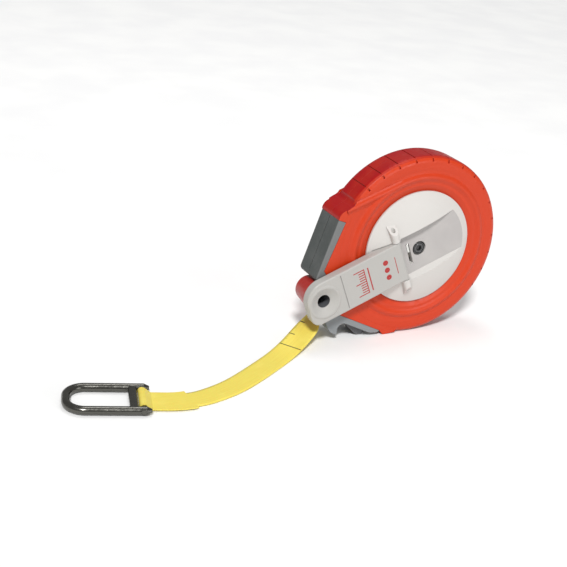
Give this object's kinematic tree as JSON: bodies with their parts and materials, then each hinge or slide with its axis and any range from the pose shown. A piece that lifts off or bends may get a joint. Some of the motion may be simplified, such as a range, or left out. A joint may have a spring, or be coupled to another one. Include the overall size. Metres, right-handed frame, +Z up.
{
  "type": "closed-reel tape measure",
  "caption": "Hand-wound tape measure: round red case with a folding crank on its face, a yellow blade out of the nose along the ground and an oval end ring.",
  "frame": {"origin": "under the middle of the case and crank, on the surface the case stands on; the free blade is left out of that middle", "axes": "+Z up; the nose and mouth point to -X; the crank disc faces -Y"},
  "size_m": [0.2467, 0.0701, 0.098],
  "materials": {
    "red_plastic": "satin moulded red, fine grain",
    "grey_rubber": "matt dark grey",
    "grey_plastic": "matt grey",
    "dark_plastic": "matt black-grey",
    "red_knob": "satin red",
    "white_plastic": "satin off-white",
    "arm_plastic": "satin light grey",
    "drum_plastic": "matt black",
    "bush_plastic": "natural",
    "bright_steel": "turned",
    "black_steel": "blackened",
    "ring_steel": "worn gunmetal",
    "blade": "yellow coated fibreglass, fine weave"
  },
  "bodies": {
    "case": {"front_shell": "red_plastic", "rear_shell": "red_plastic", "case_screws": "black_steel", "nose_bumper": "grey_rubber", "mouth_piece": "grey_plastic", "guide_pin": "bright_steel", "anvil_pin": "bright_steel", "brake_spring": "bright_steel", "axle": "bright_steel", "hub_washer": "bright_steel", "hub_screw": "black_steel", "rear_cap": "red_plastic", "blade_lead": "blade", "free_blade": "blade", "blade_end_loop": "blade"},
    "drum": {"bush_front": "bush_plastic", "bush_rear": "bush_plastic", "drum_core": "drum_plastic", "drum_flange_front": "drum_plastic", "drum_flange_rear": "drum_plastic", "blade_coil": "blade", "blade_hook": "bright_steel"},
    "crank": {"crank_disc": "white_plastic", "clutch_leaf": "bright_steel", "hinge_pin": "bright_steel"},
    "arm": {"crank_arm": "arm_plastic", "knob_sleeve": "dark_plastic"},
    "knob": {"knob": "red_knob"},
    "button": {"brake_button": "dark_plastic", "brake_pad": "grey_rubber"},
    "ring": {"end_ring": "ring_steel", "ring_pin": "ring_steel"}
  },
  "joints": [
    {"name": "drum_turn", "type": "hinge", "parent": "case", "child": "drum", "pos_m": [0.0079, 0.00257, 0.049], "axis": [0, 1, 0], "continuous": true},
    {"name": "crank_turn", "type": "hinge", "parent": "case", "child": "crank", "pos_m": [0.0079, -0.00593, 0.049], "axis": [0, 1, 0], "range_deg": [-0.6, 0.6]},
    {"name": "crank_fold", "type": "hinge", "parent": "crank", "child": "arm", "pos_m": [-0.00384, -0.01073, 0.0439], "axis": [-0.3987, 0, 0.9171], "range_deg": [0, 180]},
    {"name": "knob_spin", "type": "hinge", "parent": "arm", "child": "knob", "pos_m": [-0.04666, 0.00057, 0.02527], "axis": [0, 1, 0], "continuous": true},
    {"name": "brake_press", "type": "slide", "parent": "case", "child": "button", "axis": [0.4104, 0, 0.9119], "range_m": [0, 0.0006], "stiffness_N_per_m": 400, "springref_m": -0.003, "deforming": ["brake_spring"]},
    {"name": "ring_swing", "type": "hinge", "parent": "case", "child": "ring", "pos_m": [-0.154, -0.04443, 0.00221], "axis": [0.2747, 0.9615, 0], "range_deg": [0, 110]}
  ]
}
